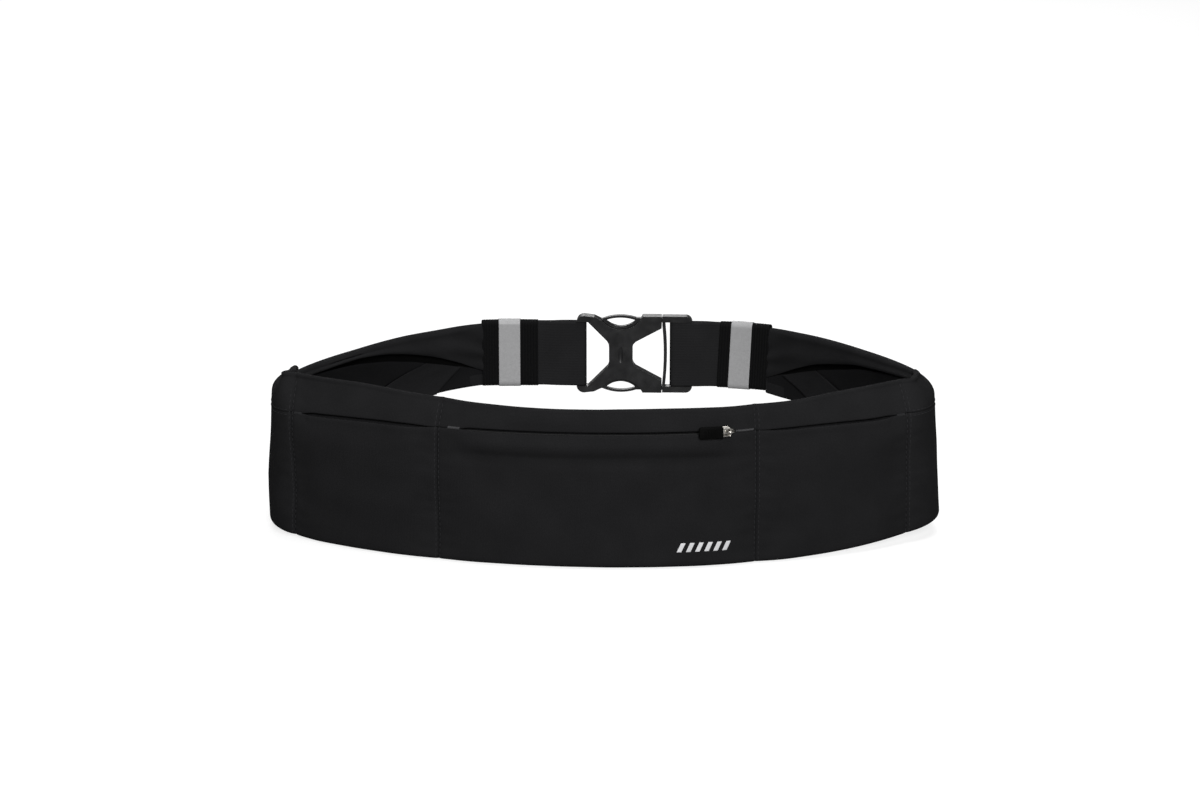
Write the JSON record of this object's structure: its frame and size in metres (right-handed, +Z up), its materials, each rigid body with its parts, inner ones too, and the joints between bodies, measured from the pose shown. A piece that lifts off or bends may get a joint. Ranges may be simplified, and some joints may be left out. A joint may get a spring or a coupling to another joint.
{
  "type": "money belt",
  "caption": "Stretch waist belt with flat sewn pockets, a zipped middle pocket, ribbed cuffs with reflective tape and a side-release buckle.",
  "frame": {"origin": "middle of the bounding box in plan, on the surface that the belt stands on", "axes": "+X to the wearer's left along the zipped front, +Y from the pockets towards the buckle at the back, +Z up"},
  "size_m": [0.38, 0.212, 0.0955],
  "materials": {
    "shell_knit": "matt stretch knit",
    "lining_knit": "matt stretch knit",
    "strap_elastic": "smooth knitted elastic",
    "ribbed_elastic": "ribbed woven elastic",
    "reflective_tape": "grey retroreflective tape",
    "thread": "sewing thread",
    "print_ink": "heat-transfer print",
    "acetal": "moulded, semi-gloss",
    "zip_tape": "woven tape",
    "zip_coil": "coiled monofilament",
    "nickel_plate": "nickel-plated zinc casting",
    "pull_rubber": "moulded, matt"
  },
  "bodies": {
    "waistband": {"pocket_center": "shell_knit", "pocket_left": "shell_knit", "pocket_right": "shell_knit", "side_panel_left": "shell_knit", "side_panel_right": "shell_knit", "top_band": "shell_knit", "lining": "lining_knit", "bottom_hem": "lining_knit", "divider_seams": "lining_knit", "bartacks": "thread", "printed_mark": "print_ink", "rear_panel_left": "shell_knit", "rear_panel_right": "shell_knit", "rear_lining_left": "lining_knit", "rear_lining_right": "lining_knit", "rear_folds_left": "lining_knit", "rear_folds_right": "lining_knit", "cuff_left": "ribbed_elastic", "cuff_right": "ribbed_elastic", "reflective_tape_left": "reflective_tape", "reflective_tape_right": "reflective_tape", "zip_tape_upper": "zip_tape", "zip_tape_lower": "zip_tape", "zip_coil_upper": "zip_coil", "zip_coil_lower": "zip_coil", "zip_stops": "nickel_plate"},
    "socket_side": {"strap_left": "strap_elastic", "buckle_socket": "acetal"},
    "plug_side": {"strap_right": "strap_elastic", "buckle_plug": "acetal"},
    "upper_prong": {"prong_upper": "acetal"},
    "lower_prong": {"prong_lower": "acetal"},
    "slider": {"zip_slider": "nickel_plate"},
    "pull": {"zip_link": "nickel_plate", "zip_pull_tab": "pull_rubber"}
  },
  "joints": [
    {"name": "socket_draw", "type": "slide", "parent": "waistband", "child": "socket_side", "axis": [-1, 0, 0], "range_m": [0, 0.021], "stiffness_N_per_m": 40, "deforming": ["strap_left", "prong_upper", "prong_lower"]},
    {"name": "plug_draw", "type": "slide", "parent": "waistband", "child": "plug_side", "axis": [1, 0, 0], "range_m": [0, 0.0145], "stiffness_N_per_m": 40, "deforming": ["strap_right", "prong_upper", "prong_lower"]},
    {"name": "upper_prong_flex", "type": "hinge", "parent": "plug_side", "child": "upper_prong", "pos_m": [0.0331, 0.1018, 0.0927], "axis": [0, -1, 0], "range_deg": [0, 6], "stiffness_Nm_per_rad": 0.3},
    {"name": "lower_prong_flex", "type": "hinge", "parent": "plug_side", "child": "lower_prong", "pos_m": [0.0331, 0.1018, 0.0513], "axis": [0, 1, 0], "range_deg": [0, 6], "stiffness_Nm_per_rad": 0.3},
    {"name": "zip_run", "type": "hinge", "parent": "waistband", "child": "slider", "pos_m": [0, 0.194, 0.0755], "axis": [0, 0, -1], "range_deg": [0, 27.3]},
    {"name": "pull_swing", "type": "hinge", "parent": "slider", "child": "pull", "pos_m": [0.07292, -0.1003, 0.0755], "axis": [0, 0, 1], "range_deg": [0, 150]}
  ]
}
